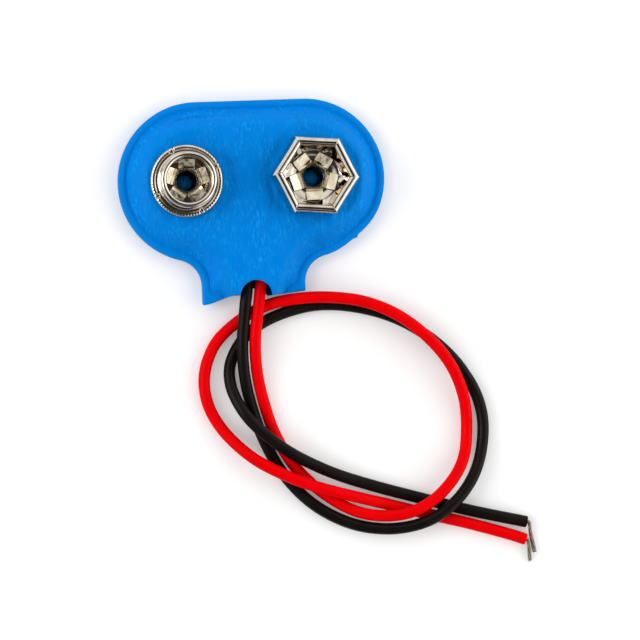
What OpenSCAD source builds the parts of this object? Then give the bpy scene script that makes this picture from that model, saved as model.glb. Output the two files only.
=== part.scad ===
// Snap connector for a 9 V block battery: two plated terminals riveted to a stiff board,
// sealed between two welded vinyl skins, with a red and a black lead.
// The part lies on its back. X runs from the stud to the socket, Y away from the leads, Z up.
// The origin is on the underside, midway between the two terminals.

/* [Terminals] */
// Distance between the centres of the stud and the socket
terminal_pitch = 12.95; // [12.8:0.05:13.1]
// Thickness of the plated sheet
sheet_t = 0.25; // [0.2:0.01:0.28]
// Height of the stud above the skin
stud_h = 2.8; // [2.6:0.1:3.2]
// Radius of the stud's bead
stud_r = 2.86; // [2.75:0.01:2.95]
// Length of the straight part of the bead
bead_h = 0.75; // [0.5:0.05:0.9]
// Depth of the neck below the bead
stud_undercut = 0.2; // [0.16:0.01:0.25]
// Outer radius of the stud's crimped base
stud_base_r = 3.68; // [3.6:0.01:3.8]
// Width of the lip that the base folds over the stud's flange
base_lip_w = 0.23; // [0.15:0.01:0.3]
// Height of the socket above the skin
socket_h = 2.75; // [2.5:0.05:3]
// Distance across the socket's outer flats
socket_flats = 7.6; // [7.3:0.1:7.9]
// Width of the socket's folded rim
socket_rim_w = 0.85; // [0.75:0.05:0.95]
// Inward lean of a spring leaf from its rim to its foot
leaf_lean = 0.5; // [0.3:0.05:0.6]
// Slit between two spring leaves
leaf_slit = 0.12; // [0.08:0.01:0.2]
// Turn of the socket's hexagon on its rivet, in degrees
socket_turn = -5; // [-10:1:10]

/* [Rivets] */
// Radius of the hole through a rivet
rivet_bore_r = 1.05; // [0.95:0.05:1.1]
// Wall of a rivet's tube
rivet_wall = 0.2; // [0.15:0.01:0.22]
// Radius of a rivet's head
rivet_head_r = 1.9; // [1.7:0.05:2]
// Thickness of a rivet's head
rivet_head_t = 0.3; // [0.2:0.05:0.35]
// Radius of a curled petal
petal_curl_r = 0.55; // [0.5:0.01:0.58]
// Width of a petal
petal_w = 1.55; // [1.3:0.05:1.6]

/* [Covers] */
// Width of the covers
body_w = 27.4; // [26.8:0.1:28.5]
// Height of the covers without the stem
body_h = 16.3; // [15.8:0.1:17]
// Sideways offset of the covers from the middle of the terminals
cover_shift = 0.5; // [0:0.1:0.5]
// Width of the stem
stem_w = 10.6; // [10.2:0.1:11.4]
// Sideways offset of the stem from the middle of the covers
stem_shift = -0.3; // [-0.3:0.1:0]
// Distance from the terminals' axis to the end of the stem
stem_drop = 11.5; // [11.3:0.1:11.5]
// Sag of the stem's end at the mouth
stem_sag = 0.2; // [0:0.05:0.2]
// Radius of the hollow between body and stem
shoulder_r = 2.75; // [2.4:0.05:3]
// Length of the pointed tail at the stem's left corner
tail_len = 1.05; // [0.4:0.05:1.2]
// Thickness of one vinyl skin
skin_t = 0.5; // [0.4:0.05:0.55]
// Width of the welded margin
margin_w = 0.85; // [0.6:0.05:0.9]
// Height of the weld above the underside
weld_z = 1.1; // [0.9:0.05:1.1]
// Radius of the arched mouth for the leads
mouth_r = 1.7; // [1.7:0.05:2]
// Height of the mouth in the front skin
mouth_h = 1.45; // [1.3:0.05:1.6]
// Height of the mouth in the back skin
back_mouth_h = 0.65; // [0.4:0.05:1]

/* [Board] */
// Clear height under the board, for the rivet heads and the leads
cavity_h = 1.5; // [1.4:0.05:1.8]
// Thickness of the board
board_t = 1; // [0.8:0.1:1.4]
// Distance from the covers' edge to the board
board_inset = 3.3; // [3.25:0.05:3.8]

/* [Leads] */
// Outer diameter of a lead
wire_d = 1.2; // [1:0.05:1.2]
// Diameter of the bare strands
core_d = 0.42; // [0.3:0.02:0.42]

/* [Hidden] */
$fn = 64;
bend_fn = 24;
nickel = [0.74, 0.71, 0.66];
tin = [0.66, 0.66, 0.66];
vinyl = [0.01, 0.45, 0.85];
fibre = [0.48, 0.36, 0.24];
over = 1;

// Clearance round a rivet's tube, and round the stud's flange in its base
rivet_clear = 0.05;
flange_clear = 0.03;

// Levels from the underside up
board_z = skin_t + cavity_h;
skin_z = board_z + board_t;
seat_z = skin_z + skin_t;
floor_z = seat_z + sheet_t;
head_z = board_z - rivet_head_t;

// Terminals
terminal_x = terminal_pitch / 2;
rivet_tube_r = rivet_bore_r + rivet_wall;
rivet_hole_r = rivet_tube_r + rivet_clear;
rim_in_r = stud_base_r - sheet_t;
lip_z = 2 * sheet_t;
stake_w = 0.3;
stake_d = 0.14;
stake_a = 25;
stakes = 4;
roll_r = sheet_t + 0.05;
roll_lip = 0.3;
roll_z = stud_h - roll_r;
bead_z = roll_z - bead_h;
neck_r = stud_r - stud_undercut;
neck_taper = 0.25;
leaves = 6;
leaf_a = 180 / leaves;
socket_out_r = socket_flats / 2;
socket_in_r = socket_out_r - socket_rim_w;
leaf_foot_r = socket_in_r - leaf_lean;
fold_r = socket_rim_w / 2;
fold_z = socket_h - fold_r;
skirt_gap = 0.1;
petals = 5;
petal_x = rivet_bore_r + petal_curl_r;

// Outline of the covers: two round ends, a stem, and a hollow where they meet
end_r = body_h / 2;
end_x = body_w / 2 - end_r;
end_steps = 24;
hollow_steps = 7;
hollow_start = 3;
tail_steps = 5;
tail_bend = 0.8;
mouth_x = 2.1;
mouth_y = -stem_drop - stem_sag;
cap_y = -4;

// Levels of the skins, from the flat middle at 1 to the welded margin at 0
slope_w = 2.05;
slope_h = skin_z - weld_z;
lining = 0.3;
sill = 0.05;
sill_slope = 0.1;
front_levels = [1, 0.7, 0.42, 0.15, 0];
back_slope_w = 1.6;
back_slope_h = weld_z - skin_t;
back_levels = [1, 0.7, 0.4, 0];

// Leads: points from the joint inside to the cut end, and the bare strands beyond
wire_sides = 10;
route_steps = 3;
lead_z = board_z - 0.65;
joint_len = 1;
blob_r = 0.5;
black_route = [
    [-4.9, -1.9, lead_z], [-3.1, -4.1, lead_z], [-1.5, -7.1, 1.5], [-0.6, -10.2, 1.8], [-0.9, -13, 1.95],
    [-1.3, -16.2, 1.95], [-1.25, -19.3, 1.5], [-0.7, -22.4, 0.7], [0.4, -26.1, 0.6], [2.4, -30.1, 0.6],
    [5.4, -33.4, 0.6], [9.3, -35.6, 0.7], [13.4, -36.3, 1.3], [17.2, -35.6, 1.9], [20.1, -33.7, 1.9],
    [22.2, -31.1, 1.3], [23.3, -28, 0.7], [23.4, -24.8, 0.6], [22.3, -21.6, 0.6], [19.8, -18.2, 0.6],
    [16, -15.3, 0.6], [11.7, -13.6, 0.6], [7, -13, 0.6], [2.7, -13.85, 0.6], [-0.5, -15.6, 0.6],
    [-2.35, -18.2, 0.6], [-2.6, -20.8, 0.9], [-1.5, -23.6, 1.8], [0.5, -25.9, 1.95], [3.3, -28.1, 1.9],
    [7.3, -30.2, 1.2], [11.6, -31.8, 0.7], [16.7, -33.4, 0.6], [21.7, -34.9, 0.6], [27.6, -36.4, 0.6]
];
red_route = [
    [5, -2, lead_z], [3.4, -4.2, lead_z], [1.9, -7.2, 1.5], [0.95, -10.2, 1.8], [0.5, -13, 1.95],
    [0, -16.2, 1.95], [0.1, -19.4, 1.3], [0.7, -22.6, 0.8], [1.8, -26.1, 0.6], [3.7, -29.5, 0.6],
    [6.7, -32.5, 0.6], [10.2, -34.5, 1.1], [14, -34.9, 1.9], [17.1, -33.9, 1.95], [19.5, -31.9, 1.9],
    [21.1, -29.5, 1.3], [21.7, -26.5, 0.8], [21.5, -23.3, 1.2], [20.3, -20.1, 1.9], [18.3, -17.3, 1.95],
    [15.3, -14.7, 1.9], [11.8, -13, 1.8], [8, -12.3, 1.75], [4.4, -12.3, 1.4], [1.3, -12.9, 0.75],
    [-1.6, -14.4, 0.6], [-4, -16.6, 0.6], [-5.2, -19.6, 0.6], [-5, -22.6, 0.6], [-3.5, -25.5, 0.8],
    [-0.9, -28.2, 1.7], [2.2, -30.1, 1.95], [5.4, -31.5, 1.95], [8.9, -32.6, 1.6], [13.1, -33.8, 0.6],
    [17.5, -35.1, 0.6], [21.6, -36.25, 0.6], [25.8, -37.6, 0.6], [27.4, -38.2, 0.6]
];
tip_start = 0.3;
black_bend = [[27.95, -37.2, 0.5], [28.15, -38.3, 0.35], [28.4, -39.6, 0.25]];
red_bend = [[27.75, -38.9, 0.5], [27.85, -40.5, 0.25]];

function unit(v) = v / norm(v);
function rise(s) = sin(90 * s);

// Smooth line through the points of a route, kept on the table
function smooth(route) = let (n = len(route) - 1)
    concat(
        [for (i = [0:n - 1], k = [0:route_steps - 1])
            let (
                p1 = route[i],
                p2 = route[i + 1],
                p0 = i > 0 ? route[i - 1] : 2 * p1 - p2,
                p3 = i + 1 < n ? route[i + 2] : 2 * p2 - p1,
                t = k / route_steps,
                bow = 2 * p0 - 5 * p1 + 4 * p2 - p3 + t * (3 * p1 - p0 - 3 * p2 + p3),
                p = p1 + t / 2 * (p2 - p0 + t * bow))
            [p.x, p.y, max(p.z, wire_d / 2)]],
        [route[n]]
    );
black_line = smooth(black_route);
red_line = smooth(red_route);

// One side of the covers' outline at an inset, from the corner of a stem of this half width
// to the top of the end
function side(inset, stem_x) = let (
    hollow_x = stem_x + shoulder_r,
    hollow_y = -sqrt(pow(end_r + shoulder_r, 2) - pow(hollow_x - end_x, 2)),
    meet_a = atan2(-hollow_y, hollow_x - end_x),
    r = shoulder_r + inset,
    low = inset - stem_drop,
    corner_a = asin(max(0, (low - hollow_y) / r)),
    first_a = 180 - corner_a - hollow_start,
    last_a = 180 - meet_a)
    concat(
        [[hollow_x - r * cos(corner_a), low]],
        [for (i = [0:hollow_steps])
            let (a = first_a + (last_a - first_a) * i / hollow_steps)
            [hollow_x + r * cos(a), hollow_y + r * sin(a)]],
        [for (i = [1:end_steps])
            let (a = -meet_a + (90 + meet_a) * i / end_steps)
            [end_x + (end_r - inset) * cos(a), (end_r - inset) * sin(a)]]
    );

// Closed section of a cover at an inset from the edge, with its own inset at the mouth
function section(inset, mouth_inset, z) = let (
    right = side(inset, stem_w / 2 + stem_shift),
    left = side(inset, stem_w / 2 - stem_shift),
    low = right[0].y,
    mouth = mouth_inset + mouth_y,
    mouth_left = stem_shift - mouth_x,
    tail = inset == 0 ? tail_len : 0)
    concat(
        [for (p = right) [p.x, p.y, z]],
        [for (i = [len(left) - 1:-1:1]) [-left[i].x, left[i].y, z]],
        [for (i = [0:tail_steps - 1])
            let (t = i / tail_steps)
            [-left[0].x + (left[0].x + mouth_left) * t,
             low + (mouth - low) * t - tail * pow(1 - t, tail_bend), z]],
        [for (x = [-mouth_x, 0, mouth_x]) [stem_shift + x, mouth, z]]
    );

// Closed solid through a row of rings, with a fan at each end
module loft(rings, first, last) {
    n = len(rings[0]);
    rows = len(rings);
    head = n * rows;
    foot = head + 1;
    polyhedron(
        points = concat([for (ring = rings) each ring], [first, last]),
        faces = concat(
            [for (j = [0:n - 1]) [head, (j + 1) % n, j]],
            [for (i = [0:rows - 2], j = [0:n - 1])
                let (a = n * i, k = (j + 1) % n)
                each [[a + j, a + k, a + n + k], [a + j, a + n + k, a + n + j]]],
            [for (j = [0:n - 1]) [foot, n * (rows - 1) + j, n * (rows - 1) + (j + 1) % n]]
        ));
}

// Tangent of a line at one of its points
function tangent(line, i) = unit(line[min(i + 1, len(line) - 1)] - line[max(i - 1, 0)]);

// Round lead along a line
module lead(line, d) {
    rings = [for (i = [0:len(line) - 1])
        let (t = tangent(line, i), u = unit(cross(t, [0, 0, 1])), v = cross(u, t))
        [for (j = [0:wire_sides - 1])
            let (a = 360 * j / wire_sides)
            line[i] + d / 2 * (cos(a) * u + sin(a) * v)]];
    loft(rings, line[0], line[len(line) - 1]);
}

// Bare strands that leave the cut end of a lead and bend over
module strands(line, bend) {
    n = len(line) - 1;
    lead(concat([line[n], line[n] + tip_start * tangent(line, n)], bend), core_d);
}

// Stripped inner end of a lead, soldered under a rivet's head
module joint(line) {
    back = -tangent(line, 0);
    translate(line[0]) rotate([0, 0, atan2(back.y, back.x)]) difference() {
        union() {
            rotate([0, 90, 0]) cylinder(r = core_d / 2, h = joint_len);
            translate([joint_len, 0, 0]) sphere(r = blob_r);
        }
        translate([joint_len - over, -over, head_z - lead_z]) cube(2 * over);
    }
}

// Holes for the two rivets
module rivet_holes(z, h) {
    for (x = [-terminal_x, terminal_x])
        translate([x, 0, z - over]) cylinder(r = rivet_hole_r, h = h + 2 * over);
}

// Arched mouth where the leads come out
module mouth(h) {
    translate([cover_shift + stem_shift, mouth_y + h - mouth_r, -over])
        cylinder(r = mouth_r, h = seat_z + 2 * over);
}

// Tube with a flat head below and a crown of curled petals above
module rivet(first_petal) {
    rotate_extrude() {
        translate([rivet_bore_r, head_z]) square([rivet_head_r - rivet_bore_r, rivet_head_t]);
        translate([rivet_bore_r, head_z]) square([rivet_wall, floor_z - head_z]);
    }
    for (k = [0:petals - 1])
        rotate([0, 0, first_petal + k * 360 / petals]) translate([petal_x, petal_w / 2, floor_z])
            rotate([90, 0, 0]) linear_extrude(petal_w) arch(petal_curl_r, rivet_wall);
}

// Upper half of a flat ring
module arch(r, t) {
    difference() {
        circle(r = r, $fn = bend_fn);
        circle(r = r - t, $fn = bend_fn);
        translate([-r - over, -r - over]) square([2 * (r + over), r + over]);
    }
}

// Outer quarter of a round bend, above or below its centre
module bend(r, up) {
    intersection() {
        circle(r = r, $fn = bend_fn);
        translate([0, up ? 0 : -r]) square([r, r]);
    }
}

module front_cover() {
    outer = [for (s = front_levels)
        section(margin_w + s * slope_w, sill + sill_slope * s, weld_z + skin_t + slope_h * rise(s))];
    inner = [for (i = [len(front_levels) - 1:-1:0])
        let (s = front_levels[i])
        section(margin_w + lining + s * slope_w, sill + lining + sill_slope * s, weld_z + slope_h * rise(s))];
    edge = [section(0, 0, weld_z + skin_t), section(0, 0, weld_z)];
    color(vinyl) difference() {
        translate([cover_shift, 0, 0]) loft(concat(outer, edge, inner), [0, cap_y, seat_z], [0, cap_y, skin_z]);
        rivet_holes(skin_z, skin_t);
        mouth(mouth_h);
    }
}

module back_cover() {
    inner = [for (s = back_levels)
        let (inset = margin_w + lining + s * back_slope_w)
        section(inset, inset, skin_t + back_slope_h * (1 - rise(s)))];
    outer = [for (i = [len(back_levels) - 1:-1:0])
        let (s = back_levels[i], inset = margin_w + s * back_slope_w)
        section(inset, inset, back_slope_h * (1 - rise(s)))];
    edge = [section(0, 0, weld_z), section(0, 0, back_slope_h)];
    color(vinyl) difference() {
        translate([cover_shift, 0, 0]) loft(concat(inner, edge, outer), [0, cap_y, skin_t], [0, cap_y, 0]);
        mouth(back_mouth_h);
    }
}

module backing_board() {
    board_r = end_r - board_inset;
    color(fibre) difference() {
        translate([cover_shift, 0, board_z]) linear_extrude(board_t) {
            for (x = [-end_x, end_x]) translate([x, 0]) circle(r = board_r);
            square([2 * end_x, 2 * board_r], center = true);
        }
        rivet_holes(board_z, board_t);
    }
}

module stud_base() {
    color(nickel) translate([-terminal_x, 0, seat_z]) difference() {
        rotate_extrude() {
            translate([rivet_hole_r, 0]) square([rim_in_r - rivet_hole_r, sheet_t]);
            translate([rim_in_r, sheet_t]) bend(sheet_t, false);
            translate([rim_in_r, sheet_t]) square([sheet_t, sheet_t]);
            translate([rim_in_r, lip_z]) bend(sheet_t, true);
            translate([rim_in_r - base_lip_w, lip_z]) square([base_lip_w, sheet_t]);
        }
        for (k = [0:stakes - 1])
            rotate([0, 0, stake_a + k * 360 / stakes])
                translate([neck_r, -stake_w / 2, lip_z + sheet_t - stake_d]) cube([over, stake_w, over]);
    }
}

module stud_shell() {
    neck_in = neck_r - sheet_t;
    bead_in = stud_r - sheet_t;
    color(nickel) translate([-terminal_x, 0, seat_z]) rotate_extrude() {
        translate([neck_in, sheet_t]) square([rim_in_r - flange_clear - neck_in, sheet_t]);
        polygon([[neck_in, lip_z], [neck_r, lip_z], [neck_r, bead_z - neck_taper], [stud_r, bead_z],
                 [stud_r, roll_z], [bead_in, roll_z], [bead_in, bead_z], [neck_in, bead_z - neck_taper]]);
        translate([stud_r - roll_r, roll_z]) arch(roll_r, sheet_t);
        translate([stud_r - 2 * roll_r, roll_z - roll_lip]) square([sheet_t, roll_lip]);
    }
}

// One spring leaf: a skirt outside, a fold on top and a leaning wall down to the floor
module leaf() {
    foot_out = leaf_foot_r + sheet_t;
    in_r = socket_in_r + sheet_t;
    half = socket_flats / 2;
    mitre = (half + over) * tan(leaf_a);
    intersection() {
        translate([0, half, 0]) rotate([90, 0, 0]) linear_extrude(socket_flats) {
            polygon([[leaf_foot_r, 0], [foot_out, 0], [in_r, fold_z], [socket_in_r, fold_z]]);
            translate([socket_in_r + fold_r, fold_z]) arch(fold_r, sheet_t);
            translate([socket_out_r - sheet_t, skirt_gap]) square([sheet_t, fold_z - skirt_gap]);
        }
        translate([leaf_slit, 0, 0]) linear_extrude(socket_h)
            polygon([[0, 0], [half + over, -mitre], [half + over, mitre]]);
    }
}

module socket_terminal() {
    floor_r = (leaf_foot_r + sheet_t) / cos(leaf_a);
    color(nickel) translate([terminal_x, 0, seat_z]) rotate([0, 0, socket_turn]) {
        difference() {
            cylinder(r = floor_r, h = sheet_t, $fn = leaves);
            translate([0, 0, -over]) cylinder(r = rivet_hole_r, h = sheet_t + 2 * over);
        }
        for (k = [0:leaves - 1]) rotate([0, 0, leaf_a + k * 2 * leaf_a]) leaf();
    }
}

module stud_rivet() {
    color(nickel) translate([-terminal_x, 0, 0]) rivet(90);
}

module socket_rivet() {
    color(nickel) translate([terminal_x, 0, 0]) rivet(-90);
}

module black_joint() {
    color(tin) joint(black_line);
}

module red_joint() {
    color(tin) joint(red_line);
}

module black_wire() {
    color([0.1, 0.08, 0.07]) lead(black_line, wire_d);
}

module red_wire() {
    color([0.88, 0.03, 0.06]) lead(red_line, wire_d);
}

module black_tip() {
    color(tin) strands(black_line, black_bend);
}

module red_tip() {
    color(tin) strands(red_line, red_bend);
}

front_cover();
back_cover();
backing_board();
stud_base();
stud_shell();
socket_terminal();
stud_rivet();
socket_rivet();
black_joint();
red_joint();
black_wire();
red_wire();
black_tip();
red_tip();
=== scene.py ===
"""A snap connector for a 9 V block battery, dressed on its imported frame.

Lengths are in millimetres here and become metres where a mesh is made. The skins, terminals, rivets and
leads are built as detailed pieces that replace their plain solids; the sealed inner pieces keep theirs.
"""

import math
import random

import bpy
from mathutils import Matrix, Vector, noise


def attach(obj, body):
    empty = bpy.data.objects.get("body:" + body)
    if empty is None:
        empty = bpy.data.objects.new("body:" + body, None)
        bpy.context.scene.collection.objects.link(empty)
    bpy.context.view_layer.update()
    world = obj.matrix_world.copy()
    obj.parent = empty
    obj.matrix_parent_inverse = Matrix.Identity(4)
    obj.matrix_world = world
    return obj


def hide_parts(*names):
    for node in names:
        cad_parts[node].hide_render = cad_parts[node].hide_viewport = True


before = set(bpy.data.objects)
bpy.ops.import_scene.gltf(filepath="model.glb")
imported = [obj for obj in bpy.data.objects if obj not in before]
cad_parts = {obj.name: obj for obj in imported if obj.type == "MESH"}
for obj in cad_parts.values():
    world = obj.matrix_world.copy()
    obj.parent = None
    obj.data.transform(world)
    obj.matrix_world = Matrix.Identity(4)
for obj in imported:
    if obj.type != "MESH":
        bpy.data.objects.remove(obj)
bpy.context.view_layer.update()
MM = 0.001

# Sizes shared with the solids
TERMINAL_X = 6.475
SHEET = 0.25
SEAT_Z = 3.5
FLOOR_Z = SEAT_Z + SHEET
WELD_Z = 1.1
SKIN = 0.5
MARGIN = 0.85
COVER_X = 0.5
END_R = 8.15
END_X = 5.55
STEM_HALF = 5.3
STEM_SHIFT = -0.3
STEM_Y = -11.5
STEM_SAG = 0.2
TAIL = 1.05
SHOULDER_R = 2.75
MOUTH_X = COVER_X + STEM_SHIFT
BACK_MOUTH_TOP = -11.05
SOCKET_TURN = math.radians(-5)
RIVET_HOLE_R = 1.3
BORE_R = 1.05

# Sizes that differ by a hair from the solids', or that only the scene has
MOUTH_R = 1.65
MOUTH_TOP = -10.24
MOUTH_SAG = 0.36
DOME_R = 0.97
DOME_H = 1.4
DOME_POWER = 0.4
WIRE_R = 0.61

# The order of the draws decides how the leaves lean, and how the petals stand and how wide they are
rng = random.Random(7)


def clamp(value, low, high):
    return max(low, min(high, value))


def smooth(low, high, value):
    """0 below low, 1 above high and an S between."""
    t = clamp((value - low) / (high - low), 0.0, 1.0)
    return t * t * (3 - 2 * t)


def bell(value, width):
    return math.exp(-((value / width) ** 2))


def srgb(red, green, blue):
    """A screen colour, 0 to 255, as a linear one."""
    parts = [c / 255 for c in (red, green, blue)]
    return tuple(c / 12.92 if c < 0.04045 else ((c + 0.055) / 1.055) ** 2.4 for c in parts) + (1.0,)


# Materials


def material(name, **constants):
    """A principled material, with the values that are the same all over set on its own sockets."""
    made = bpy.data.materials.new(name)
    made.use_nodes = True
    shader = made.node_tree.nodes["Principled BSDF"]
    for socket, value in constants.items():
        shader.inputs[socket.replace("_", " ")].default_value = value
    return made


def texture(made, kind, scale, stretch=(1, 1, 1), **settings):
    """A texture in the piece's own coordinates."""
    nodes, links = made.node_tree.nodes, made.node_tree.links
    place = nodes.new("ShaderNodeTexCoord")
    mapping = nodes.new("ShaderNodeMapping")
    mapping.inputs["Scale"].default_value = stretch
    made_texture = nodes.new("ShaderNodeTex" + kind)
    made_texture.inputs["Scale"].default_value = scale
    for socket, value in settings.items():
        made_texture.inputs[socket].default_value = value
    links.new(place.outputs["Object"], mapping.inputs["Vector"])
    links.new(mapping.outputs["Vector"], made_texture.inputs["Vector"])
    return made_texture


def ramp(made, source, stops):
    """Colours or greys along a texture's value."""
    node = made.node_tree.nodes.new("ShaderNodeValToRGB")
    stops_in = node.color_ramp.elements
    while len(stops_in) < len(stops):
        stops_in.new(0.5)
    for element, (place, colour) in zip(stops_in, stops):
        element.position = place
        element.color = colour if isinstance(colour, tuple) else (colour, colour, colour, 1.0)
    made.node_tree.links.new(source, node.inputs["Fac"])
    return node.outputs["Color"]


def paint(made, socket, source):
    made.node_tree.links.new(source, made.node_tree.nodes["Principled BSDF"].inputs[socket])


def bumps(made, *layers):
    """Stacks (height, depth in mm, strength) layers into the shader's normal."""
    nodes, links = made.node_tree.nodes, made.node_tree.links
    below = None
    for height, depth, strength in layers:
        bump = nodes.new("ShaderNodeBump")
        bump.inputs["Distance"].default_value = depth * MM
        bump.inputs["Strength"].default_value = strength
        links.new(height, bump.inputs["Height"])
        if below is not None:
            links.new(below, bump.inputs["Normal"])
        below = bump.outputs["Normal"]
    paint(made, "Normal", below)


def times(made, first, second):
    node = made.node_tree.nodes.new("ShaderNodeMath")
    node.operation = "MULTIPLY"
    made.node_tree.links.new(first, node.inputs[0])
    made.node_tree.links.new(second, node.inputs[1])
    return node.outputs["Value"]


def vinyl(name, dark, light, gloss, grain):
    """Leather-grain vinyl with light streaks along the body, partly grain and partly painted highlight on its
    wrinkles. grain is their depth in mm.
    """
    made = material(name, Specular_IOR_Level=0.03)
    patch = texture(made, "Noise", 420, Detail=2.0)
    fleck = texture(made, "Noise", 3000, stretch=(2.1, 0.5, 1), Detail=2.0, Distortion=0.4)
    # The light streaks are grain and also painted highlight: the glints of the wrinkles, put into the colour
    flecks_and_glints = times(
        made,
        ramp(made, fleck.outputs["Fac"], [(0.48, 0.0), (0.7, 1.0)]),
        ramp(made, patch.outputs["Fac"], [(0.4, 0.15), (0.62, 1.0)]),
    )
    paint(made, "Base Color", ramp(made, flecks_and_glints, [(0.0, dark), (1.0, light)]))
    sheen = [(0.3, gloss - 0.07), (0.7, gloss + 0.07)]
    paint(made, "Roughness", ramp(made, patch.outputs["Fac"], sheen))
    crease = texture(made, "Noise", 900, stretch=(1.5, 0.7, 1), Detail=2.0)
    pebble = texture(made, "Noise", 7000, Detail=2.0)
    bumps(
        made,
        (crease.outputs["Fac"], grain * 3, 1.0),
        (flecks_and_glints, grain, 1.0),
        (pebble.outputs["Fac"], grain * 0.3, 1.0),
    )
    return made


def nickel(name, dark, light, gloss, dents):
    """Bright plating with handling scuffs. dents is the depth of its unevenness in mm."""
    made = material(name, Metallic=1.0)
    cloud = texture(made, "Noise", 900, Detail=3.0)
    paint(made, "Base Color", ramp(made, cloud.outputs["Fac"], [(0.3, dark), (0.7, light)]))
    scuff = texture(made, "Noise", 2600, stretch=(1, 0.25, 1), Detail=4.0)
    paint(made, "Roughness", ramp(made, scuff.outputs["Fac"], [(0.35, gloss * 0.6), (0.75, gloss * 1.7)]))
    dent = texture(made, "Noise", 700, Detail=2.0)
    bumps(made, (dent.outputs["Fac"], dents, 0.5), (scuff.outputs["Fac"], 0.006, 0.5))
    return made


def pvc(name, dark, light, gloss, specular):
    """Extruded insulation with a faintly uneven surface."""
    made = material(name, Specular_IOR_Level=specular)
    cloud = texture(made, "Noise", 420, Detail=3.0)
    paint(made, "Base Color", ramp(made, cloud.outputs["Fac"], [(0.3, dark), (0.7, light)]))
    haze = texture(made, "Noise", 1300, Detail=3.0)
    paint(made, "Roughness", ramp(made, haze.outputs["Fac"], [(0.3, gloss - 0.06), (0.7, gloss + 0.08)]))
    skin = texture(made, "Noise", 4200, Detail=3.0)
    bumps(made, (skin.outputs["Fac"], 0.012, 0.5))
    return made


VINYL = vinyl("blue_vinyl", srgb(0, 125, 215), srgb(6, 155, 244), 0.36, 0.05)
WELD = vinyl("blue_weld", srgb(0, 126, 214), srgb(2, 136, 226), 0.36, 0.015)
# Painted shade: the inside of the back skin, seen in the mouth, gets a darker blue than the vinyl has
PAINTED_SHADE_VINYL = vinyl("inner_vinyl_painted_shade", srgb(0, 34, 84), srgb(0, 44, 100), 0.5, 0.02)
NICKEL = nickel("nickel_plate", srgb(192, 182, 166), srgb(226, 217, 203), 0.07, 0.06)
PETAL = nickel("nickel_petals", srgb(190, 176, 144), srgb(236, 228, 206), 0.1, 0.17)
BLACK = pvc("black_pvc", srgb(13, 10, 8), srgb(21, 17, 15), 0.3, 0.09)
RED = pvc("red_pvc", srgb(222, 0, 4), srgb(235, 0, 8), 0.3, 0.03)
TIN = nickel("tinned_strands", srgb(138, 128, 114), srgb(182, 172, 156), 0.24, 0.05)

FIBRE = material("fibre_board", Specular_IOR_Level=0.1, Roughness=0.9)
chips = texture(FIBRE, "Noise", 2400, Detail=6.0, Roughness=0.7)
fibre_tones = [(0.3, srgb(96, 70, 44)), (0.7, srgb(142, 110, 76))]
paint(FIBRE, "Base Color", ramp(FIBRE, chips.outputs["Fac"], fibre_tones))
bumps(FIBRE, (chips.outputs["Fac"], 0.03, 0.8))


# Meshes


def add_piece(name, verts, faces, slot, nodes, paints, sharp, pick=None):
    """A mesh piece from points in mm. It rides on the one body and stands for its solids.

    Edges over sharp degrees stay hard. pick gives the number of a face's paint from its centre.
    """
    mesh = bpy.data.meshes.new(name)
    mesh.from_pydata([(x * MM, y * MM, z * MM) for x, y, z in verts], [], faces)
    mesh.update()
    for paint_made in paints:
        mesh.materials.append(paint_made)
    for polygon in mesh.polygons:
        polygon.use_smooth = True
        if pick:
            polygon.material_index = pick(polygon.center / MM)
    mesh.set_sharp_from_angle(angle=math.radians(sharp))
    piece = bpy.data.objects.new(name, mesh)
    bpy.context.scene.collection.objects.link(piece)
    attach(piece, "root")
    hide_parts(*nodes)
    return piece


def bevel(piece, width):
    made = piece.modifiers.new("soft edges", "BEVEL")
    made.width = width * MM
    made.segments = 2
    made.limit_method = "ANGLE"
    made.angle_limit = math.radians(30)


def merge(*parts):
    """Joins (points, faces) parts into one."""
    verts, faces = [], []
    for part_verts, part_faces in parts:
        base = len(verts)
        verts += part_verts
        faces += [[base + i for i in face] for face in part_faces]
    return verts, faces


def arc(x, z, r, first, last, steps):
    """Points on an arc between two angles in degrees."""
    turn = [math.radians(first + (last - first) * i / steps) for i in range(steps + 1)]
    return [(x + r * math.cos(a), z + r * math.sin(a)) for a in turn]


def turned(centre_x, turn, out, side, z):
    """A point this far out from a terminal's axis in the direction of turn, and to the side of it."""
    return (
        centre_x + out * math.cos(turn) - side * math.sin(turn),
        out * math.sin(turn) + side * math.cos(turn),
        z,
    )


def swept(steps, count):
    """Faces between steps + 1 rings of count points, closed at both ends."""
    faces = []
    for i in range(steps):
        for j in range(count):
            k = (j + 1) % count
            faces.append([i * count + j, (i + 1) * count + j, (i + 1) * count + k, i * count + k])
    faces.append(list(range(count)))
    faces.append([steps * count + j for j in reversed(range(count))])
    return faces


def lathe(profile, centre_x, steps, shape=None):
    """Turns a closed counter-clockwise (radius, height) profile about a terminal's axis.

    shape gives a new radius and height for a radius, a height and an angle.
    """
    count = len(profile)
    verts, faces = [], []
    for i in range(steps):
        a = 2 * math.pi * i / steps
        for r, z in profile:
            if shape:
                r, z = shape(r, z, a)
            verts.append((centre_x + r * math.cos(a), r * math.sin(a), z))
    for i in range(steps):
        here, there = i * count, (i + 1) % steps * count
        for j in range(count):
            k = (j + 1) % count
            faces.append([here + j, there + j, there + k, here + k])
    return verts, faces


# Skins: a cover's outline is known as the distance to it, and a fine grid is cut where that is nothing

# A flatter stretch of the edge at the lower right, by its angle in degrees, and a nub on it
FLAT_TURN = -52
FLAT_SPREAD = 17
FLAT_DEPTH = 0.26
NUB_X = 10.6
NUB_Y = -6.35
NUB_SPREAD = 0.28
NUB = 0.16


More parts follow.
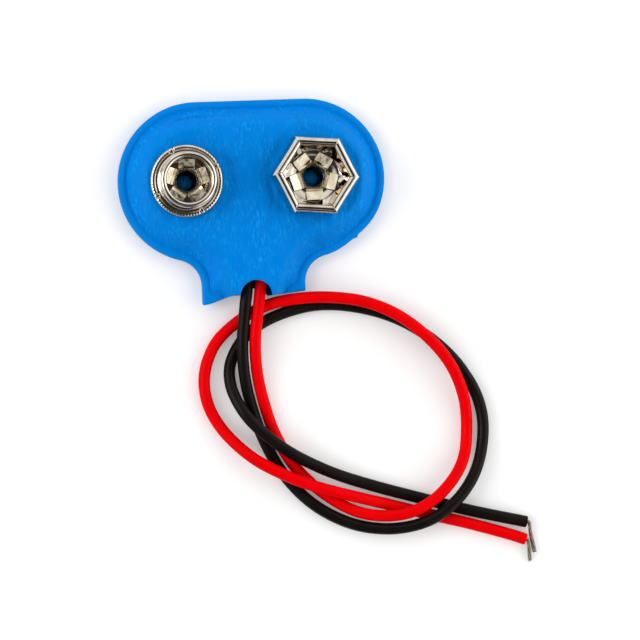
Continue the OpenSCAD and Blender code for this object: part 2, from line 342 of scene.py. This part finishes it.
def side_inset(x, y):
    """Distance inside the covers' sides; x is measured from their middle."""
    across = abs(x)
    from_end = across - END_X
    stem_half = STEM_HALF + (STEM_SHIFT if x > 0 else -STEM_SHIFT)
    hollow_x = stem_half + SHOULDER_R
    hollow_y = -math.sqrt((END_R + SHOULDER_R) ** 2 - (hollow_x - END_X) ** 2)
    if (hollow_x - END_X) * y - hollow_y * from_end >= 0:
        inset = END_R - (math.hypot(from_end, y) if from_end > 0 else abs(y))
    elif y > hollow_y:
        inset = min(END_R - y, math.hypot(across - hollow_x, y - hollow_y) - SHOULDER_R)
    else:
        inset = stem_half - across
    if x > END_X and y < 0:
        turn = math.degrees(math.atan2(y, x - END_X))
        inset -= FLAT_DEPTH * bell(turn - FLAT_TURN, FLAT_SPREAD)
        inset += NUB * bell(math.hypot(x - NUB_X, y - NUB_Y), NUB_SPREAD)
    return inset


def stem_bottom(x):
    """Lower edge of the stem, with the pointed tail on its left; x is measured from the covers' middle."""
    left = STEM_SHIFT - STEM_HALF
    mouth_left, mouth_right = STEM_SHIFT - MOUTH_R, STEM_SHIFT + MOUTH_R
    if x < STEM_SHIFT:
        sag = STEM_SAG * smooth(left, mouth_left, x)
    else:
        sag = MOUTH_SAG * (1 - clamp((x - mouth_right) / (STEM_HALF - MOUTH_R), 0, 1))
    return STEM_Y - sag - TAIL * (1 - smooth(left, mouth_left - 0.1, x))


def rivet_range(x, y):
    """Distance to the nearer terminal's axis."""
    return min(math.hypot(x + TERMINAL_X, y), math.hypot(x - TERMINAL_X, y))


def cover_inside(x, y, mouth_top):
    """Distance inside a cover with an arched mouth of this height."""
    above = max(0.0, y - mouth_top + MOUTH_R)
    return min(
        side_inset(x - COVER_X, y),
        y - stem_bottom(x - COVER_X),
        math.hypot(x - MOUTH_X, above) - MOUTH_R,
    )


def front_inside(x, y):
    return min(cover_inside(x, y, MOUTH_TOP), rivet_range(x, y) - RIVET_HOLE_R)


def back_inside(x, y):
    return cover_inside(x, y, BACK_MOUTH_TOP)


def clipped_grid(inside, step):
    """Points and faces of a square grid, cut along the line where inside() is zero."""
    x0, y0 = COVER_X - END_X - END_R - step, STEM_Y - TAIL - 2 * step
    across, along = round((COVER_X - x0) * 2 / step), round((END_R + step - y0) / step)
    value = [[inside(x0 + i * step, y0 + j * step) for i in range(across + 1)] for j in range(along + 1)]
    points, index = [], {}

    def corner(i, j):
        key = (i, j)
        if key not in index:
            index[key] = len(points)
            points.append((x0 + i * step, y0 + j * step))
        return index[key]

    def crossing(a, b):
        key = (min(a, b), max(a, b))
        if key not in index:
            (xa, ya), (xb, yb) = [(x0 + i * step, y0 + j * step) for i, j in key]
            va, vb = value[key[0][1]][key[0][0]], value[key[1][1]][key[1][0]]
            low, high = (0.0, 1.0) if va > 0 else (1.0, 0.0)
            t = va / (va - vb)
            for _ in range(6):
                if inside(xa + (xb - xa) * t, ya + (yb - ya) * t) > 0:
                    low = t
                else:
                    high = t
                t = (low + high) / 2
            index[key] = len(points)
            points.append((xa + (xb - xa) * t, ya + (yb - ya) * t))
        return index[key]

    faces = []
    for j in range(along):
        for i in range(across):
            ring = [(i, j), (i + 1, j), (i + 1, j + 1), (i, j + 1)]
            face = []
            for a, b in zip(ring, ring[1:] + ring[:1]):
                in_a, in_b = value[a[1]][a[0]] > 0, value[b[1]][b[0]] > 0
                if in_a:
                    face.append(corner(*a))
                if in_a != in_b:
                    face.append(crossing(a, b))
            if len(face) > 2:
                faces.append(face)
    return points, faces


def skin(inside, step, top, bottom):
    """A closed sheet between two heights over the cut grid."""
    points, faces = clipped_grid(inside, step)
    count = len(points)
    verts = [(x, y, top(x, y)) for x, y in points] + [(x, y, bottom(x, y)) for x, y in points]
    edges = {(a, b) for face in faces for a, b in zip(face, face[1:] + face[:1])}
    walls = [[b, a, a + count, b + count] for a, b in edges if (b, a) not in edges]
    return verts, faces + [[i + count for i in reversed(face)] for face in faces] + walls


def soft_min(a, b, blend):
    """The smaller of two values, rounded off where they are alike."""
    near = clamp(0.5 + 0.5 * (b - a) / blend, 0, 1)
    return b + (a - b) * near - blend * near * (1 - near)


# How wide the slopes are that rise from the weld, and how full
FRONT_SLOPE = 2.05
BACK_SLOPE = 1.6
PILLOW_POWER = 1.2


def pillow(inset, low, high, width):
    """A height that goes from low at the margin to high over a width."""
    turn = math.radians(90 * clamp((inset - MARGIN) / width, 0, 1))
    return low + (high - low) * math.sin(turn) ** PILLOW_POWER


def front_top(x, y):
    """The outside of the front skin, drawn down round the terminals."""
    side = side_inset(x - COVER_X, y)
    bottom = y - stem_bottom(x - COVER_X)
    over_leads = 1 - smooth(1.3, 4.0, abs(x - MOUTH_X))
    inset = soft_min(side, bottom + 2.8 * over_leads, 0.9)
    z = pillow(inset, WELD_Z + SKIN, SEAT_Z, FRONT_SLOPE)
    to_terminal = rivet_range(x, y)
    turn = math.atan2(y, abs(x) - TERMINAL_X)
    inner = smooth(1.2, 3.4, inset)
    # Swollen between the terminals, pressed in under them and beside them, and low over the mouth
    z += 0.28 * smooth(3.6, 5.8, to_terminal) * smooth(1.5, 4.5, inset)
    z -= 0.07 * (1 - smooth(3.0, 4.2, to_terminal))
    z -= 0.16 * bell(to_terminal - 4.5, 0.5) * math.cos(turn) ** 2
    z -= 0.25 * over_leads * (1 - smooth(0.5, 4.0, bottom))
    # Puckers round the terminals, streaks and swells
    wander = noise.noise(Vector((x * 0.35, y * 0.35, 3.0)))
    z += 0.045 * inner * bell(to_terminal - 5.0, 1.1) * math.sin(11 * turn + 5 * wander)
    streak = noise.fractal(Vector((x * 1.9 + wander, y * 0.6, 8.0)), 1.0, 2.0, 4)
    swell = noise.noise(Vector((x * 0.55, y * 0.4, 1.0)))
    z += inner * smooth(3.5, 4.4, to_terminal) * (0.05 * streak + 0.06 * swell)
    # Ridge and groove of the weld, a crease at the upper left, and rounded edges
    z += 0.05 * bell(inset - 0.5, 0.13) - 0.07 * bell(inset - MARGIN, 0.15)
    upper_left = smooth(4, 6, y) * smooth(-8.5, -6.5, x) * (1 - smooth(-4.5, -2.5, x))
    z -= 0.32 * bell(inset - 1.65, 0.16) * upper_left
    drop, width = (0.14, 0.22) if inset < 1.5 else (0.1, 0.2)
    return z - drop * (1 - smooth(0.0, width, cover_inside(x, y, MOUTH_TOP)))


def front_bottom(x, y):
    return max(front_top(x, y) - SKIN, WELD_Z)


def back_bottom(x, y):
    """The outside of the back skin, flat inside its slopes but for faint wrinkles."""
    inset = min(side_inset(x - COVER_X, y), y - stem_bottom(x - COVER_X))
    z = pillow(inset, WELD_Z - SKIN, 0.0, BACK_SLOPE)
    swell = noise.noise(Vector((x * 0.5, y * 0.5, 5.0)))
    streak = noise.fractal(Vector((x * 0.8, y * 1.7, 2.0)), 1.0, 2.0, 4)
    z += 0.02 * smooth(0.8, 2.0, inset) * max(0.0, 0.6 * swell + 0.5 * streak)
    return z + 0.12 * (1 - smooth(0.0, 0.2, inset))


def back_top(x, y):
    """The inside of the back skin, domed where it is pressed into the rivets' bores."""
    dome = DOME_H * max(0.0, 1 - (rivet_range(x, y) / DOME_R) ** 2) ** DOME_POWER
    return min(back_bottom(x, y) + SKIN, WELD_Z) + dome


# Half the stretch at the mouth without a weld, and the grids' steps
NO_WELD_HALF = 1.9
FRONT_STEP = 0.11
BACK_STEP = 0.15


def weld_or_pillow(centre):
    """1 on the welded margin, 0 elsewhere."""
    x, y = centre.x - COVER_X, centre.y
    mouth = abs(centre.x - MOUTH_X) < NO_WELD_HALF
    return int(side_inset(x, y) < MARGIN or (y - stem_bottom(x) < MARGIN and not mouth))


def back_paint_and_shade(centre):
    """2, a darker blue that is painted shade, on the inside apart from what the bores show, and elsewhere as
    on the front.
    """
    x, y = centre.x, centre.y
    within = centre.z - back_bottom(x, y) > 0.8 * SKIN
    return 2 if within and rivet_range(x, y) > RIVET_HOLE_R else weld_or_pillow(centre)


add_piece(
    "front_skin", *skin(front_inside, FRONT_STEP, front_top, front_bottom),
    "blue_vinyl", ["front_cover"], [VINYL, WELD], sharp=38, pick=weld_or_pillow,
)
add_piece(
    "back_skin", *skin(back_inside, BACK_STEP, back_top, back_bottom),
    "blue_vinyl", ["back_cover"], [VINYL, WELD, PAINTED_SHADE_VINYL], sharp=38, pick=back_paint_and_shade,
)


# Stud terminal: a crimped base with a serrated, staked rim, and a rolled stud in it

RIM_R = 3.68
LIP_R = 3.3
LIP_Z = SEAT_Z + 2 * SHEET

# Teeth of the rim, the tabs staked inwards in it, and the cuts on both sides of each tab
TEETH = 72
TOOTH = 0.014
STAKES = [math.radians(25 + 90 * k) for k in range(4)]
STAKE_HALF = 0.2
STAKE_IN = 0.12
STAKE_DOWN = 0.05
CUT_AT = 0.24
CUT_HALF = 0.05
CUT_DEPTH = 0.14

base_profile = (
    [(RIVET_HOLE_R, SEAT_Z)]
    + arc(RIM_R - SHEET, SEAT_Z + SHEET, SHEET, -90, 0, 6)
    + arc(RIM_R - SHEET, LIP_Z, SHEET, 0, 90, 8)
    + arc(LIP_R, LIP_Z + SHEET / 2, SHEET / 2, 90, 270, 8)
    + [(RIM_R - SHEET, LIP_Z), (RIM_R - SHEET, FLOOR_Z), (RIVET_HOLE_R, FLOOR_Z)]
)


def rim_teeth(r, z, a):
    """Fine radial teeth on the rolled rim, and four tabs staked inwards between slits."""
    if z < LIP_Z + 0.02:
        return r, z
    stake = min(abs(math.remainder(a - turn, 2 * math.pi)) * RIM_R for turn in STAKES)
    plain = smooth(STAKE_HALF, CUT_AT, stake)
    if r > LIP_R + 0.02:
        tooth = TOOTH * smooth(-0.5, 0.5, math.cos(TEETH * a + 0.8 * math.sin(5 * a))) * plain
        z -= tooth
        r -= tooth
    else:
        r -= STAKE_IN * (1 - plain)
    z -= STAKE_DOWN * (1 - plain) + CUT_DEPTH * bell(stake - CUT_AT, CUT_HALF)
    return r, z


add_piece(
    "stud_base_crimped", *lathe(base_profile, -TERMINAL_X, steps=560, shape=rim_teeth),
    "nickel_plate", ["stud_base"], [NICKEL], sharp=50,
)

STUD_R = 2.86
NECK_R = 2.66
FLANGE_R = 3.4
FLANGE_EDGE = 0.06
FILLET = 0.42
ROLL_R = 0.3
ROLL_Z = SEAT_Z + 2.5
ROLL_END_Z = ROLL_Z - 0.3
DRAW = 0.008
stud_profile = (
    [(NECK_R - SHEET, FLOOR_Z), (FLANGE_R - 0.02, FLOOR_Z)]
    + arc(FLANGE_R - FLANGE_EDGE, LIP_Z - FLANGE_EDGE, FLANGE_EDGE, 0, 90, 3)
    + arc(NECK_R + FILLET, LIP_Z + FILLET, FILLET, 270, 180, 10)
    + [(NECK_R, SEAT_Z + 1.42), (NECK_R + 0.03, SEAT_Z + 1.5)]
    + [(STUD_R - 0.03, SEAT_Z + 1.7), (STUD_R, SEAT_Z + 1.78)]
    + arc(STUD_R - ROLL_R, ROLL_Z, ROLL_R, 0, 180, 20)
    + arc(STUD_R - 2 * ROLL_R + SHEET / 2, ROLL_END_Z, SHEET / 2, 180, 360, 8)
    + arc(STUD_R - ROLL_R, ROLL_Z, ROLL_R - SHEET, 180, 0, 6)
    + [(STUD_R - SHEET, SEAT_Z + 1.76), (NECK_R - SHEET, SEAT_Z + 1.46)]
)


def drawn(r, z, a):
    """The slight unevenness of a pressed cup."""
    wide = DRAW * math.sin(3 * a + 1) * smooth(SEAT_Z + 0.6, SEAT_Z + 2, z)
    return r + wide, z + DRAW * math.sin(2 * a)


add_piece(
    "stud_rolled", *lathe(stud_profile, -TERMINAL_X, steps=160, shape=drawn),
    "nickel_plate", ["stud_shell"], [NICKEL], sharp=60,
)


# Socket terminal: six folded spring leaves round a hexagonal floor

OUT_R = 3.8
FOLD_R = 0.425
FOLD_Z = SEAT_Z + 2.75 - FOLD_R
FOOT_R = 2.45
SLIT = 0.05
LEAF_BOW = 0.025
LEAF_SPRING = 0.015
BOWL_R = 2.66
BOWL_WIDTH = 0.9
BOWL_Z = FLOOR_Z + 0.22
BOWL_CORNER_Z = BOWL_Z + 0.15
HALF_TAN = math.tan(math.radians(30))

# How far the outside of each leaf runs past its end
NIBS = (0.12, 0.2, 0.34, 0.26, 0.12, 0.12)

inner_face = [(2.82, SEAT_Z + 1.6), (2.7, SEAT_Z + 1.0), (2.62, FLOOR_Z + 0.05)]
leaf_profile = (
    [(OUT_R - SHEET, SEAT_Z + 0.1), (OUT_R, SEAT_Z + 0.1)]
    + arc(OUT_R - FOLD_R, FOLD_Z, FOLD_R, 0, 180, 18)
    + inner_face
    + [(r + SHEET, z) for r, z in reversed(inner_face)]
    + arc(OUT_R - FOLD_R, FOLD_Z, FOLD_R - SHEET, 180, 0, 10)
)


def leaf(turn, spring, nib):
    """One leaf, mitred at both ends, with a nib past one; spring leans it in or out a little."""
    steps, count = 6, len(leaf_profile)
    verts, faces = [], []
    for i in range(steps + 1):
        share = 2 * i / steps - 1
        for r, z in leaf_profile:
            side = share * (r - SLIT) * HALF_TAN
            if share == 1 and r > OUT_R - FOLD_R:
                side += nib
            lean = spring * smooth(SEAT_Z + 0.3, FOLD_Z, z)
            bow = LEAF_BOW * (1 - share * share) * smooth(SEAT_Z, SEAT_Z + 1.6, z)
            verts.append(turned(TERMINAL_X, turn, r + lean - bow, side, z))
    for i in range(steps):
        for j in range(count):
            k = (j + 1) % count
            faces.append([(i + 1) * count + j, (i + 1) * count + k, i * count + k, i * count + j])
    faces.append(list(range(count)))
    faces.append([steps * count + j for j in reversed(range(count))])
    return verts, faces


def hex_floor():
    """The floor between the leaves' feet: a shallow round bowl in a hexagon, with a hole for the rivet."""

    def to_hexagon(r, z, a):
        corner = math.cos(math.remainder(a - SOCKET_TURN - math.radians(30), math.radians(60)))
        return (r / corner if r > BOWL_R else r), z

    rise = BOWL_Z - FLOOR_Z
    shares = (0, 0.15, 0.3, 0.45, 0.6, 0.75, 0.9, 1)
    bowl = [(BOWL_R - BOWL_WIDTH * t, BOWL_Z - rise * smooth(0, 1, t)) for t in shares]
    outside = [(RIVET_HOLE_R, SEAT_Z), (FOOT_R + SHEET, SEAT_Z), (FOOT_R + SHEET, BOWL_CORNER_Z)]
    profile = outside + bowl + [(RIVET_HOLE_R, FLOOR_Z)]
    return lathe(profile, TERMINAL_X, steps=144, shape=to_hexagon)


leaves = []
for k, nib in enumerate(NIBS):
    leaf_turn = SOCKET_TURN + math.radians(30 + 60 * k)
    leaves.append(leaf(leaf_turn, rng.uniform(-LEAF_SPRING, LEAF_SPRING), nib))
bevel(
    add_piece(
        "socket_leaves", *merge(hex_floor(), *leaves),
        "nickel_plate", ["socket_terminal"], [NICKEL], sharp=45,
    ),
    width=0.03,
)


# Rivets: a tube with a head inside the body and a crown of bent petals

HEAD_Z = 1.7
HEAD_TOP = 2.0
HEAD_R = 1.9
TUBE_R = 1.25
PETAL_SHEET = 0.17
PETAL_WIDTH = (1.62, 1.72)
STUD_REACH = 2.2
SOCKET_REACH = 2.4

# A petal's way up from the bore's edge, as (radius, height over the floor), and the dish behind its crest
CREST = 0.44
BEND = [(1.08, 0.0), (1.1, 0.26), (1.14, 0.38), (1.2, CREST), (1.28, CREST)]
DISH_R = 1.55
DISH = 0.2


def petal(centre_x, turn, width, reach, rise, twist):
    """A tab that rises from the bore's edge, is bent over and dished, and lifts at its end."""
    across = 6
    flat = [DISH_R + (reach - DISH_R) * share for share in (0, 0.3, 0.6, 0.92, 1)]
    upper = BEND + [(r, CREST - DISH + rise * (r - DISH_R)) for r in flat]
    lower = []
    last = len(upper) - 1
    for i, (r, z) in enumerate(upper):
        r0, z0 = upper[max(i - 1, 0)]
        r1, z1 = upper[min(i + 1, last)]
        long = math.hypot(r1 - r0, z1 - z0)
        lower_z = max(0.0, z - PETAL_SHEET * (r1 - r0) / long)
        lower.append((r + PETAL_SHEET * (z1 - z0) / long, lower_z))
    loop = upper + lower[::-1]
    verts = []
    for i in range(across + 1):
        share = 2 * i / across - 1
        for r, z in loop:
            taper = 1 - 0.06 * smooth(reach - 0.3, reach, r) - 0.1 * (1 - smooth(BORE_R, TUBE_R, r))
            side = share * width / 2 * taper
            height = max(FLOOR_Z, FLOOR_Z + z + twist * side * smooth(TUBE_R, TUBE_R + 0.25, r))
            verts.append(turned(centre_x, turn, r, side, height))
    return verts, swept(across, len(loop))


def rivet(name, centre_x, first, node, reach, bends):
    """A rivet with five petals, counter-clockwise from the angle first, bent by these (rise, twist) pairs."""
    head = [(BORE_R, HEAD_Z + 0.05), (BORE_R + 0.05, HEAD_Z), (HEAD_R - 0.08, HEAD_Z)]
    head += [(HEAD_R, HEAD_Z + 0.08), (HEAD_R, HEAD_TOP), (TUBE_R, HEAD_TOP)]
    barrel = [(TUBE_R, FLOOR_Z + 0.02), (BORE_R, FLOOR_Z + 0.02)]
    parts = [lathe(head + barrel, centre_x, steps=64)]
    for k, (rise, twist) in enumerate(bends):
        turn = math.radians(first + 72 * k + rng.uniform(-2, 2))
        parts.append(petal(centre_x, turn, rng.uniform(*PETAL_WIDTH), reach, rise, twist))
    bevel(add_piece(name, *merge(*parts), "nickel_plate", [node], [PETAL], sharp=30), width=0.02)


STUD_BENDS = [(0.36, 0.0), (0.38, -0.03), (0.16, 0.0), (0.18, 0.03), (0.4, 0.03)]
SOCKET_BENDS = [(0.4, 0.04), (0.38, 0.03), (0.42, -0.24), (0.42, 0.06), (0.38, 0.0)]
rivet("stud_rivet_petals", -TERMINAL_X, 90, "stud_rivet", STUD_REACH, STUD_BENDS)
rivet("socket_rivet_petals", TERMINAL_X, -90, "socket_rivet", SOCKET_REACH, SOCKET_BENDS)


# Leads: the routes of the solids, in mm, from the joint inside to the cut end

BLACK_ROUTE = [
    (-4.9, -1.9, 1.35), (-3.1, -4.1, 1.35), (-1.5, -7.1, 1.5), (-0.6, -10.2, 1.8), (-0.9, -13, 1.95),
    (-1.3, -16.2, 1.95), (-1.25, -19.3, 1.5), (-0.7, -22.4, 0.7), (0.4, -26.1, 0.6), (2.4, -30.1, 0.6),
    (5.4, -33.4, 0.6), (9.3, -35.6, 0.7), (13.4, -36.3, 1.3), (17.2, -35.6, 1.9), (20.1, -33.7, 1.9),
    (22.2, -31.1, 1.3), (23.3, -28, 0.7), (23.4, -24.8, 0.6), (22.3, -21.6, 0.6), (19.8, -18.2, 0.6),
    (16, -15.3, 0.6), (11.7, -13.6, 0.6), (7, -13, 0.6), (2.7, -13.85, 0.6), (-0.5, -15.6, 0.6),
    (-2.35, -18.2, 0.6), (-2.6, -20.8, 0.9), (-1.5, -23.6, 1.8), (0.5, -25.9, 1.95), (3.3, -28.1, 1.9),
    (7.3, -30.2, 1.2), (11.6, -31.8, 0.7), (16.7, -33.4, 0.6), (21.7, -34.9, 0.6), (27.6, -36.4, 0.6),
]
RED_ROUTE = [
    (5, -2, 1.35), (3.4, -4.2, 1.35), (1.9, -7.2, 1.5), (0.95, -10.2, 1.8), (0.5, -13, 1.95),
    (0, -16.2, 1.95), (0.1, -19.4, 1.3), (0.7, -22.6, 0.8), (1.8, -26.1, 0.6), (3.7, -29.5, 0.6),
    (6.7, -32.5, 0.6), (10.2, -34.5, 1.1), (14, -34.9, 1.9), (17.1, -33.9, 1.95), (19.5, -31.9, 1.9),
    (21.1, -29.5, 1.3), (21.7, -26.5, 0.8), (21.5, -23.3, 1.2), (20.3, -20.1, 1.9), (18.3, -17.3, 1.95),
    (15.3, -14.7, 1.9), (11.8, -13, 1.8), (8, -12.3, 1.75), (4.4, -12.3, 1.4), (1.3, -12.9, 0.75),
    (-1.6, -14.4, 0.6), (-4, -16.6, 0.6), (-5.2, -19.6, 0.6), (-5, -22.6, 0.6), (-3.5, -25.5, 0.8),
    (-0.9, -28.2, 1.7), (2.2, -30.1, 1.95), (5.4, -31.5, 1.95), (8.9, -32.6, 1.6), (13.1, -33.8, 0.6),
    (17.5, -35.1, 0.6), (21.6, -36.25, 0.6), (25.8, -37.6, 0.6), (27.4, -38.2, 0.6),
]
BLACK_BEND = [(27.95, -37.2, 0.5), (28.15, -38.3, 0.35), (28.4, -39.6, 0.25)]
RED_BEND = [(27.75, -38.9, 0.5), (27.85, -40.5, 0.25)]
LEAD_STEPS = 7
LEAD_SIDES = 24
LEAD_WAVER = 0.008
HOLLOW_R = 0.26
HOLLOW_END_R = 0.22
HOLLOW_DEPTH = 0.12
TIP_START = 0.3
TIP_STEPS = 9
TIP_LOWEST = 0.21
STRAND_R = 0.068
STRAND_SIDES = 8
STRAND_LAY = 0.135
STRAND_TWIST = 4.5


def spline(points, steps, lowest):
    """A smooth line through points, kept above a height."""
    line = [Vector(p) for p in points]
    line = [2 * line[0] - line[1]] + line + [2 * line[-1] - line[-2]]
    out = []
    for p0, p1, p2, p3 in zip(line, line[1:], line[2:], line[3:]):
        for k in range(steps):
            t = k / steps
            out.append(
                0.5 * (2 * p1 + (p2 - p0) * t + (2 * p0 - 5 * p1 + 4 * p2 - p3) * t ** 2
                       + (3 * p1 - p0 - 3 * p2 + p3) * t ** 3)
            )
    out.append(line[-2])
    for p in out:
        p.z = max(p.z, lowest)
    return out


def frames(line):
    """(point, side, up) along a line, with the tangent's level normal as side."""
    out = []
    for i, p in enumerate(line):
        tangent = (line[min(i + 1, len(line) - 1)] - line[max(i - 1, 0)]).normalized()
        side = tangent.cross(Vector((0, 0, 1))).normalized()
        out.append((p, side, side.cross(tangent)))
    return out


def tube(rings, sides):
    """A tube through (point, side, up, radius) rings, closed at both ends."""
    verts = []
    for p, side, up, r in rings:
        for j in range(sides):
            a = 2 * math.pi * j / sides
            verts.append(tuple(p + r * (math.cos(a) * side + math.sin(a) * up)))
    return verts, swept(len(rings) - 1, sides)


def lead(name, route, paint_made, slot, node, seed):
    """The insulation: a smooth tube with a cut end that shows its wall."""
    line = spline(route, LEAD_STEPS, WIRE_R)
    rings = []
    for i, (p, side, up) in enumerate(frames(line)):
        uneven = LEAD_WAVER * noise.noise(Vector((i * 0.35, seed, 0)))
        rings.append((p, side, up, WIRE_R - LEAD_WAVER + uneven))
    # The cut end: a rounded edge, the wall, and a hollow where the strands come out
    p, side, up, r = rings[-1]
    forward = up.cross(side)
    rings[-1] = (p - 0.04 * forward, side, up, r)
    rings += [(p, side, up, r - 0.05), (p, side, up, HOLLOW_R)]
    rings.append((p - HOLLOW_DEPTH * forward, side, up, HOLLOW_END_R))
    piece = add_piece(name, *tube(rings, LEAD_SIDES), slot, [node], [paint_made], sharp=50)
    return piece, line


def strands(name, route, bend, node, seed):
    """Six wires twisted round a seventh, that leave the cut end and bend over."""
    end = Vector(route[-1])
    out = (end - Vector(route[-2])).normalized()
    line = spline([tuple(end), tuple(end + TIP_START * out)] + bend, TIP_STEPS, TIP_LOWEST)
    parts = []
    placed = frames(line)
    last = len(placed) - 1
    for k in range(7):
        rings = []
        for i, (p, side, up) in enumerate(placed):
            share = i / last
            a = 2 * math.pi * k / 6 + STRAND_TWIST * share + seed
            reach = 0.0 if k == 6 else STRAND_LAY * (1 + 0.25 * share ** 3)
            centre = p + reach * (math.cos(a) * side + math.sin(a) * up)
            centre.z = max(centre.z, STRAND_R)
            rings.append((centre, side, up, STRAND_R))
        cut = last - (k * 2) % 3
        parts.append(tube(rings[: cut + 1], STRAND_SIDES))
    return add_piece(name, *merge(*parts), "tinned_strands", [node], [TIN], sharp=60)


def cord(name, route, bend, paint_made, slot, seed):
    """A lead with its strands; the lead leaves the mouth at its fourth point."""
    piece, line = lead(name + "_lead", route, paint_made, slot, name + "_wire", seed)
    tip = strands(name + "_strands", route, bend, name + "_tip", seed)


cord("black", BLACK_ROUTE, BLACK_BEND, BLACK, "black_pvc", 1.0)
cord("red", RED_ROUTE, RED_BEND, RED, "red_pvc", 2.4)


# Sealed inner pieces keep their solids and get their own finish

for name, finish in (("backing_board", FIBRE), ("black_joint", TIN), ("red_joint", TIN)):
    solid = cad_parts[name]
    if not solid.material_slots:
        solid.data.materials.append(finish)
    for place in solid.material_slots:
        place.material = finish


# Floor, light and camera

FLOOR_HALF = 2.0
FLOOR_LEVEL = -0.00002
FLOOR_GLOW = 0.22
floor_mesh = bpy.data.meshes.new("floor")
floor_mesh.from_pydata(
    [(x * FLOOR_HALF, y * FLOOR_HALF, FLOOR_LEVEL) for x, y in ((-1, -1), (1, -1), (1, 1), (-1, 1))],
    [],
    [(0, 1, 2, 3)],
)
floor = bpy.data.objects.new("floor", floor_mesh)
bpy.context.scene.collection.objects.link(floor)
PAPER = material("paper", Specular_IOR_Level=0.0, Roughness=0.9)
tone = texture(PAPER, "Noise", 9, Detail=2.0)
paint(PAPER, "Base Color", ramp(PAPER, tone.outputs["Fac"], [(0.2, 0.795), (0.8, 0.805)]))
PAPER.node_tree.nodes["Principled BSDF"].inputs["Emission Color"].default_value = (1.0, 1.0, 1.0, 1.0)
seen = PAPER.node_tree.nodes.new("ShaderNodeMath")
seen.operation = "MULTIPLY"
seen.inputs[1].default_value = FLOOR_GLOW
light_path = PAPER.node_tree.nodes.new("ShaderNodeLightPath")
PAPER.node_tree.links.new(light_path.outputs["Is Camera Ray"], seen.inputs[0])
paint(PAPER, "Emission Strength", seen.outputs["Value"])
floor_mesh.materials.append(PAPER)

scene = bpy.context.scene
scene.view_settings.view_transform = "Standard"
world = bpy.data.worlds.new("studio")
scene.world = world
world.use_nodes = True
sky = world.node_tree


def sky_value(operation, *inputs):
    """A number worked out in the sky; inputs are numbers or other results."""
    node = sky.nodes.new("ShaderNodeMath")
    node.operation = operation
    for socket, value in zip(node.inputs, inputs):
        if isinstance(value, float):
            socket.default_value = value
        else:
            sky.links.new(value, socket)
    return node.outputs["Value"]


def sky_step(value, low, high, start, end):
    """Goes softly from start, where value is low, to end, where it is high."""
    node = sky.nodes.new("ShaderNodeMapRange")
    node.interpolation_type = "SMOOTHSTEP"
    for name, level in (("From Min", low), ("From Max", high), ("To Min", start), ("To Max", end)):
        node.inputs[name].default_value = level
    sky.links.new(value, node.inputs["Value"])
    return node.outputs["Result"]


# A light tent behind the part and on both sides of it, dark above and in front,
# with a brighter light low on the right and a weak window in front
toward = sky.nodes.new("ShaderNodeSeparateXYZ")
sky.links.new(sky.nodes.new("ShaderNodeTexCoord").outputs["Generated"], toward.inputs["Vector"])
left = sky_value("MULTIPLY", toward.outputs["X"], -0.85)
behind_left = sky_value("ADD", left, sky_value("MULTIPLY", toward.outputs["Y"], 0.5))
behind = sky_value("MULTIPLY", toward.outputs["Y"], 0.85)
reach = sky_value("MAXIMUM", sky_value("MAXIMUM", toward.outputs["X"], behind), behind_left)
tent = sky_value(
    "MULTIPLY",
    sky_step(reach, 0.21, 0.47, 0.035, 1.08),
    sky_step(toward.outputs["X"], 0.0, 0.6, 1.0, 0.9),
)
low_right = sky_step(toward.outputs["X"], 0.6, 0.85, 0.0, 1.5)
ahead = sky_value("MULTIPLY", toward.outputs["Y"], -1.0)
front = sky_value(
    "MULTIPLY",
    sky_step(ahead, 0.52, 0.58, 0.0, 0.45),
    sky_step(ahead, 0.68, 0.74, 1.0, 0.0),
)
light = sky_value("ADD", sky_value("ADD", tent, low_right), front)
sky.links.new(light, sky.nodes["Background"].inputs["Strength"])
sky.nodes["Background"].inputs["Color"].default_value = (1.0, 1.0, 1.0, 1.0)


def lamp(name, place, aim, size, watts):
    """A round area lamp, placed and sized in metres."""
    data = bpy.data.lights.new(name, "AREA")
    data.shape = "DISK"
    data.size = size
    data.energy = watts
    made = bpy.data.objects.new(name, data)
    made.location = place
    made.rotation_euler = (Vector(aim) - Vector(place)).to_track_quat("-Z", "Y").to_euler()
    scene.collection.objects.link(made)
    return made


lamp("key", (-0.5, 0.05, 0.36), (0.0, -0.01, 0.0), 0.4, 1.25)
lamp("fill", (-0.2, -0.5, 0.5), (0.0, -0.01, 0.0), 0.5, 0.95).visible_glossy = False

CAMERA_TARGET = Vector((7.057, -14.557, 0.0)) * MM
CAMERA_RANGE = 0.3
CAMERA_LEFT = math.tan(math.radians(8.788))
CAMERA_DOWN = math.tan(math.radians(1.227))
CAMERA_ROLL = math.radians(2.718)
CAMERA_HALF = 0.032904
right = Vector((math.cos(CAMERA_ROLL), -math.sin(CAMERA_ROLL), 0))
up = Vector((math.sin(CAMERA_ROLL), math.cos(CAMERA_ROLL), 0))
back = (Vector((0, 0, 1)) - right * CAMERA_LEFT - up * CAMERA_DOWN).normalized()
up = (up - back * up.dot(back)).normalized()
right = up.cross(back)
camera = bpy.data.objects.new("camera", bpy.data.cameras.new("camera"))
camera.data.lens_unit = "FOV"
camera.data.angle = 2 * math.atan(CAMERA_HALF / CAMERA_RANGE)
camera.data.clip_start = 0.01
pose = Matrix((right, up, back)).transposed().to_4x4()
pose.translation = CAMERA_TARGET + back * CAMERA_RANGE
camera.matrix_world = pose
scene.collection.objects.link(camera)
scene.camera = camera
